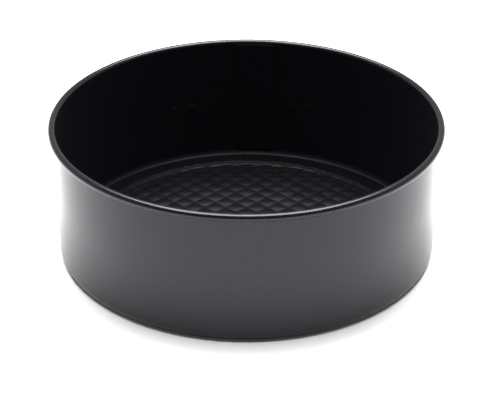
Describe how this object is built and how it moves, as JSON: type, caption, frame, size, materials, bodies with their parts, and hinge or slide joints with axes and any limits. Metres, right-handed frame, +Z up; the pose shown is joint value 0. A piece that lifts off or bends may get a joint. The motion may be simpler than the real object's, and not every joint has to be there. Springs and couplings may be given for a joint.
{
  "type": "springform pan",
  "caption": "Round deep springform baking pan with rolled rim, loose quilted base plate and a rear draw latch that lets the band spring open.",
  "frame": {"origin": "centre of the foot circle, on the surface that the pan stands on", "axes": "+Z up, +Y towards the rear latch, +X to the right of a person facing +Y"},
  "size_m": [0.208, 0.2136, 0.074],
  "materials": {
    "coated_band": "satin non-stick coating, charcoal outside and near-black inside",
    "coated_base": "satin near-black non-stick coating",
    "latch_steel": "bright nickel-plated pressed steel",
    "rivet_steel": "plated steel rivets",
    "pin_steel": "plated steel pin",
    "wire_steel": "bright drawn steel wire"
  },
  "bodies": {
    "band_right": {"band_right": "coated_band", "hinge_bracket": "latch_steel", "bracket_rivets": "rivet_steel", "lever_pin": "pin_steel"},
    "band_left": {"band_left": "coated_band", "catch_plate": "latch_steel", "catch_rivets": "rivet_steel"},
    "base": {"base_plate": "coated_base"},
    "lever": {"latch_lever": "latch_steel"},
    "bail": {"latch_bail": "wire_steel"}
  },
  "joints": [
    {"name": "lever_swing", "type": "hinge", "parent": "band_right", "child": "lever", "pos_m": [0.01477, 0.10507, 0.034], "axis": [0, 0, 1], "range_deg": [0, 120]},
    {"name": "bail_swing", "type": "hinge", "parent": "lever", "child": "bail", "pos_m": [0.02076, 0.10497, 0.034], "axis": [0, 0, 1], "range_deg": [-111, 0]},
    {"name": "band_flex", "type": "hinge", "parent": "band_right", "child": "band_left", "pos_m": [0, -0.104, 0.072], "axis": [0, 0, 1], "range_deg": [0, 1.75]},
    {"name": "base_lift", "type": "slide", "parent": "band_right", "child": "base", "axis": [0, 0, 1], "range_m": [0, 0.09]}
  ],
  "couplings": [
    {"joint": "bail_swing", "follows": "lever_swing", "ratio": -0.9249},
    {"joint": "band_flex", "follows": "lever_swing", "ratio": 0.01458}
  ]
}
